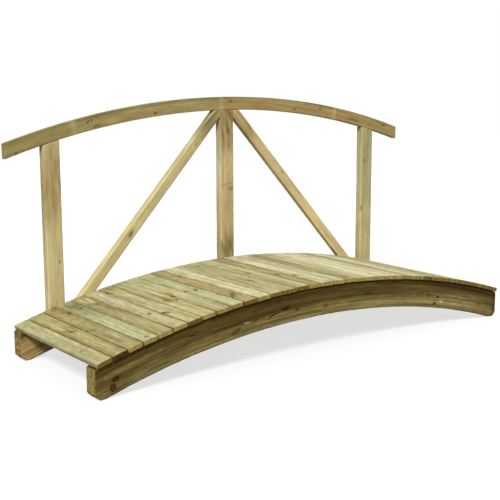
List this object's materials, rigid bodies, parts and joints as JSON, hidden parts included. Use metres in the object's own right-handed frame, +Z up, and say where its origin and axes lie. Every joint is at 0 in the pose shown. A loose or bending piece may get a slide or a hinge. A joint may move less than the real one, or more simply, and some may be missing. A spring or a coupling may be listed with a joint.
{
  "type": "arched wooden garden footbridge",
  "caption": "Arched timber footbridge for a garden: glued arch stringers, cross boards and an arched handrail on posts with diagonal braces along one side.",
  "frame": {"origin": "on the ground, in the middle of the bounding footprint", "axes": "+X along the walkway, +Y across it towards the handrail, +Z up"},
  "size_m": [2.41, 0.845, 1.169],
  "materials": {
    "pine_stringer": "pressure-treated glued pine, planed, dull olive brown",
    "pine_deck": "pressure-treated pine boards, planed, pale khaki with knots",
    "pine_railing": "pressure-treated pine, planed, edges rounded",
    "pine_handrail": "pressure-treated finger-jointed pine, planed, edges rounded"
  },
  "bodies": {
    "root": {"stringer_near": "pine_stringer", "stringer_far": "pine_stringer", "deck_board_01": "pine_deck", "deck_board_02": "pine_deck", "deck_board_03": "pine_deck", "deck_board_04": "pine_deck", "deck_board_05": "pine_deck", "deck_board_06": "pine_deck", "deck_board_07": "pine_deck", "deck_board_08": "pine_deck", "deck_board_09": "pine_deck", "deck_board_10": "pine_deck", "deck_board_11": "pine_deck", "deck_board_12": "pine_deck", "deck_board_13": "pine_deck", "deck_board_14": "pine_deck", "deck_board_15": "pine_deck", "deck_board_16": "pine_deck", "deck_board_17": "pine_deck", "deck_board_18": "pine_deck", "deck_board_19": "pine_deck", "deck_board_20": "pine_deck", "deck_board_21": "pine_deck", "deck_board_22": "pine_deck", "deck_board_23": "pine_deck", "deck_board_24": "pine_deck", "deck_board_25": "pine_deck", "deck_board_26": "pine_deck", "deck_board_27": "pine_deck", "deck_board_28": "pine_deck", "deck_board_29": "pine_deck", "deck_board_30": "pine_deck", "deck_board_31": "pine_deck", "deck_board_32": "pine_deck", "deck_board_33": "pine_deck", "post_left": "pine_railing", "post_centre": "pine_railing", "post_right": "pine_railing", "brace_left": "pine_railing", "brace_right": "pine_railing", "handrail_segment_1": "pine_handrail", "handrail_segment_2": "pine_handrail", "handrail_segment_3": "pine_handrail", "handrail_segment_4": "pine_handrail"}
  },
  "joints": []
}
